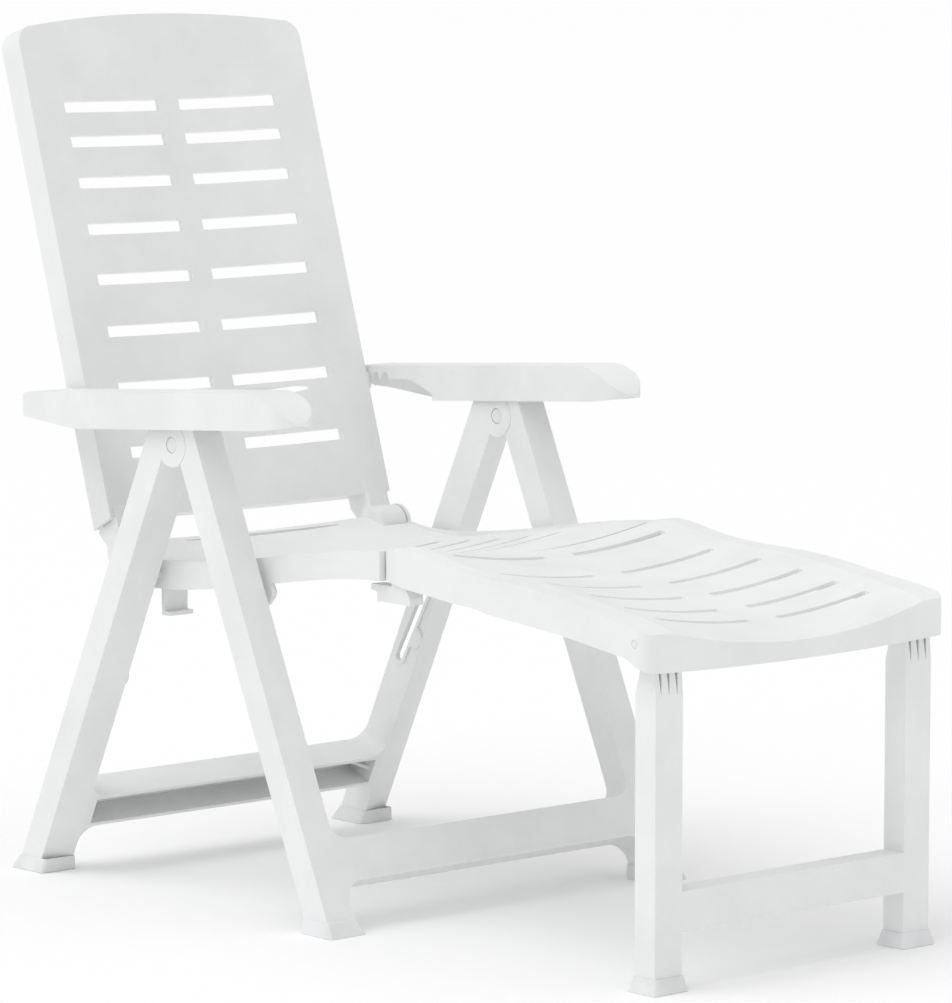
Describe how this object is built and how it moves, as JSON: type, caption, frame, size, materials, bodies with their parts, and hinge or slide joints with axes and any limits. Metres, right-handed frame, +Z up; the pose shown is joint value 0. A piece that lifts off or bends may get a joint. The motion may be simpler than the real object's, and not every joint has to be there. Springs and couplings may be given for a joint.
{
  "type": "reclining sun lounger",
  "caption": "White moulded folding garden lounger with a slatted seat, a high reclining back held by toothed armrests, and an unhooking footrest on its own folding legs",
  "frame": {"origin": "On the floor plane, under the middle of the lounger's bounding box", "axes": "+Z up, +Y from the footrest to the backrest, +X to the sitter's left"},
  "size_m": [0.6, 1.2199, 1.0732],
  "materials": {
    "white_resin": "moulded polypropylene with a fine satin grain",
    "white_pin": "smooth moulded nylon",
    "foot_rubber": "softer white moulding with a worn sole"
  },
  "bodies": {
    "front": {"front_leg_frame": "white_resin", "leg_pivot_pin_left": "white_pin", "leg_pivot_pin_right": "white_pin", "seat_pivot_pin_left": "white_pin", "seat_pivot_pin_right": "white_pin", "front_foot_cap_left": "foot_rubber", "front_foot_cap_right": "foot_rubber"},
    "rear": {"rear_leg_frame": "white_resin", "rear_foot_cap_left": "foot_rubber", "rear_foot_cap_right": "foot_rubber"},
    "seat": {"seat": "white_resin", "seat_slide_pin_left": "white_pin", "seat_slide_pin_right": "white_pin", "backrest_hinge_pin_left": "white_pin", "backrest_hinge_pin_right": "white_pin"},
    "backrest": {"backrest": "white_resin", "backrest_rack_pin_left": "white_pin", "backrest_rack_pin_right": "white_pin"},
    "armrest_left": {"armrest_left": "white_resin", "armrest_pivot_pin_left": "white_pin"},
    "armrest_right": {"armrest_right": "white_resin", "armrest_pivot_pin_right": "white_pin"},
    "footrest": {"footrest_panel": "white_resin", "footrest_hook_left": "white_resin", "footrest_hook_right": "white_resin", "footrest_leg_pin_left": "white_pin", "footrest_leg_pin_right": "white_pin"},
    "footrest_legs": {"footrest_leg_frame": "white_resin", "footrest_foot_cap_left": "foot_rubber", "footrest_foot_cap_right": "foot_rubber"}
  },
  "joints": [
    {"name": "chair_fold", "type": "hinge", "parent": "front", "child": "rear", "pos_m": [0, 0.1881, 0.564], "axis": [-1, 0, 0], "range_deg": [0, 40]},
    {"name": "seat_fold", "type": "hinge", "parent": "front", "child": "seat", "pos_m": [0, 0.08232, 0.39], "axis": [-1, 0, 0], "range_deg": [0, 80]},
    {"name": "backrest_turn", "type": "hinge", "parent": "seat", "child": "backrest", "pos_m": [0, 0.3641, 0.412], "axis": [1, 0, 0], "range_deg": [-6, 82]},
    {"name": "armrest_left_turn", "type": "hinge", "parent": "front", "child": "armrest_left", "pos_m": [0, 0.17638, 0.603], "axis": [1, 0, 0], "range_deg": [-1.5, 20.5]},
    {"name": "armrest_right_turn", "type": "hinge", "parent": "front", "child": "armrest_right", "pos_m": [0, 0.17638, 0.603], "axis": [1, 0, 0], "range_deg": [-1.5, 20.5]},
    {"name": "footrest_unhook", "type": "slide", "parent": "seat", "child": "footrest", "axis": [0, -1, 0], "range_m": [0, 0.08]},
    {"name": "footrest_legs_fold", "type": "hinge", "parent": "footrest", "child": "footrest_legs", "pos_m": [0, -0.5859, 0.4], "axis": [1, 0, 0], "range_deg": [0, 80]}
  ],
  "couplings": [
    {"joint": "seat_fold", "follows": "chair_fold", "ratio": 2},
    {"joint": "armrest_left_turn", "follows": "backrest_turn", "ratio": 0.25},
    {"joint": "armrest_right_turn", "follows": "backrest_turn", "ratio": 0.25}
  ]
}
